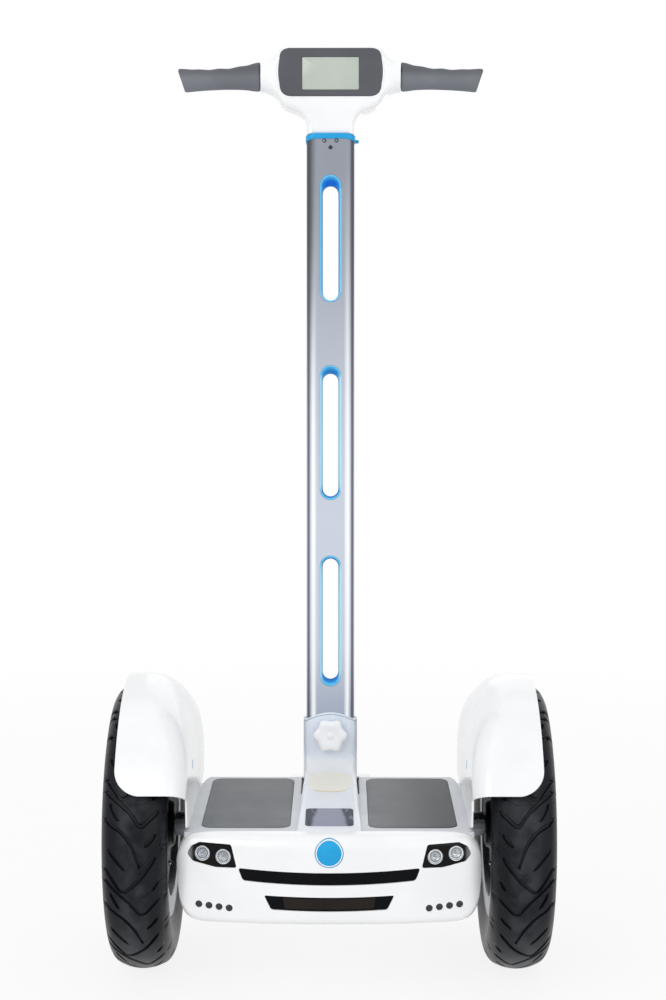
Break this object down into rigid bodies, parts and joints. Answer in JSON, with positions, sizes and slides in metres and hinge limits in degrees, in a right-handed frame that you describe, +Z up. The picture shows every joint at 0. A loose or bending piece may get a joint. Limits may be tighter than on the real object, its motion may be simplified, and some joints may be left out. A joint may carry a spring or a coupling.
{
  "type": "self-balancing standing scooter",
  "caption": "Two-wheeled self-balancing standing scooter: fendered hub-motor wheels, a low deck with foot mats, and a slotted steering column with a handlebar and display.",
  "frame": {"origin": "on the ground, under the middle of the whole scooter's box", "axes": "+X the rider's right, along the axles; +Y forward, away from the rider; +Z up"},
  "size_m": [0.65, 0.4896, 1.4012],
  "materials": {
    "tyre": "black rubber with moulded grooves",
    "rim": "cast, machined at the edge",
    "motor_cover": "satin black paint",
    "hub_cap": "fine grain, matte",
    "winding": "varnished copper windings",
    "steel": "turned and brushed",
    "frame": "dark powder coat",
    "white_body": "smooth gloss white",
    "deck": "pale grey, fine grain",
    "foot_mat": "mid grey, fine stipple",
    "switch": "moulded black",
    "battery": "heat-shrunk sleeve",
    "circuit": "coated circuit board",
    "lamp_housing": "smoked gloss black",
    "lamp_lens": "clear faceted lens over a bright reflector",
    "sensor": "matte black",
    "grille": "gloss black",
    "blue_trim": "satin sky blue",
    "smoked_window": "smoked clear plastic",
    "bush": "moulded rubber",
    "knob": "satin white",
    "column": "anodised, drawn along its length",
    "bezel": "satin dark grey",
    "screen": "liquid crystal window, switched off",
    "grip": "soft grey rubber"
  },
  "bodies": {
    "chassis": {"stator_right": "winding", "stator_left": "winding", "axle_right": "steel", "axle_left": "steel", "chassis_frame": "frame", "belly_pan": "white_body", "deck_cover": "deck", "rear_fascia": "white_body", "nose_cover": "white_body", "foot_switch_right": "switch", "foot_switch_left": "switch", "battery_pack": "battery", "control_board": "circuit", "motor_driver_board": "circuit", "fender_right": "white_body", "fender_left": "white_body", "lamp_housing_right": "lamp_housing", "lamp_housing_left": "lamp_housing", "inner_lamp_right": "lamp_lens", "inner_lamp_left": "lamp_lens", "outer_lamp_right": "lamp_lens", "outer_lamp_left": "lamp_lens", "sensor_bar_right": "sensor", "sensor_bar_left": "sensor", "upper_grille": "grille", "lower_grille": "grille", "badge_disc": "blue_trim", "tunnel_cover": "white_body", "tunnel_window": "smoked_window", "status_display": "switch", "torsion_bush_front": "bush", "torsion_bush_rear": "bush"},
    "wheel_right": {"tyre_right": "tyre", "rim_right": "rim", "motor_cover_right": "motor_cover", "hub_cap_right": "hub_cap"},
    "wheel_left": {"tyre_left": "tyre", "rim_left": "rim", "motor_cover_left": "motor_cover", "hub_cap_left": "hub_cap"},
    "mat_right": {"foot_mat_right": "foot_mat"},
    "mat_left": {"foot_mat_left": "foot_mat"},
    "steering": {"column_sleeve": "white_body", "steering_pin_front": "steel", "steering_pin_rear": "steel"},
    "clamp": {"clamp_knob": "knob", "clamp_screw": "steel"},
    "column": {"column_tube": "column", "slot_liner_lower": "blue_trim", "slot_liner_middle": "blue_trim", "slot_liner_upper": "blue_trim", "column_collar": "blue_trim", "head_shell_rear": "white_body", "head_shell_front": "white_body", "display_bezel": "bezel", "display_screen": "screen", "display_board": "circuit", "handlebar_tube": "steel", "grip_right": "grip", "grip_left": "grip"}
  },
  "joints": [
    {"name": "wheel_right_spin", "type": "hinge", "parent": "chassis", "child": "wheel_right", "pos_m": [0.278, -0.03059, 0.21418], "axis": [1, 0, 0], "continuous": true},
    {"name": "wheel_left_spin", "type": "hinge", "parent": "chassis", "child": "wheel_left", "pos_m": [-0.278, -0.03059, 0.21418], "axis": [1, 0, 0], "continuous": true},
    {"name": "mat_right_press", "type": "slide", "parent": "chassis", "child": "mat_right", "axis": [0, 0, 1], "range_m": [-0.002, 0], "stiffness_N_per_m": 8000},
    {"name": "mat_left_press", "type": "slide", "parent": "chassis", "child": "mat_left", "axis": [0, 0, 1], "range_m": [-0.002, 0], "stiffness_N_per_m": 8000},
    {"name": "steer_lean", "type": "hinge", "parent": "chassis", "child": "steering", "pos_m": [0, 0.1, 0.23518], "axis": [0, 1, 0], "range_deg": [-10, 10], "stiffness_Nm_per_rad": 80},
    {"name": "column_height", "type": "slide", "parent": "steering", "child": "column", "axis": [0, 0.0849, 0.9964], "range_m": [0, 0.08]},
    {"name": "clamp_turn", "type": "hinge", "parent": "steering", "child": "clamp", "pos_m": [0, 0.08567, 0.32282], "axis": [0, -0.9964, 0.0849], "range_deg": [0, 360]}
  ]
}
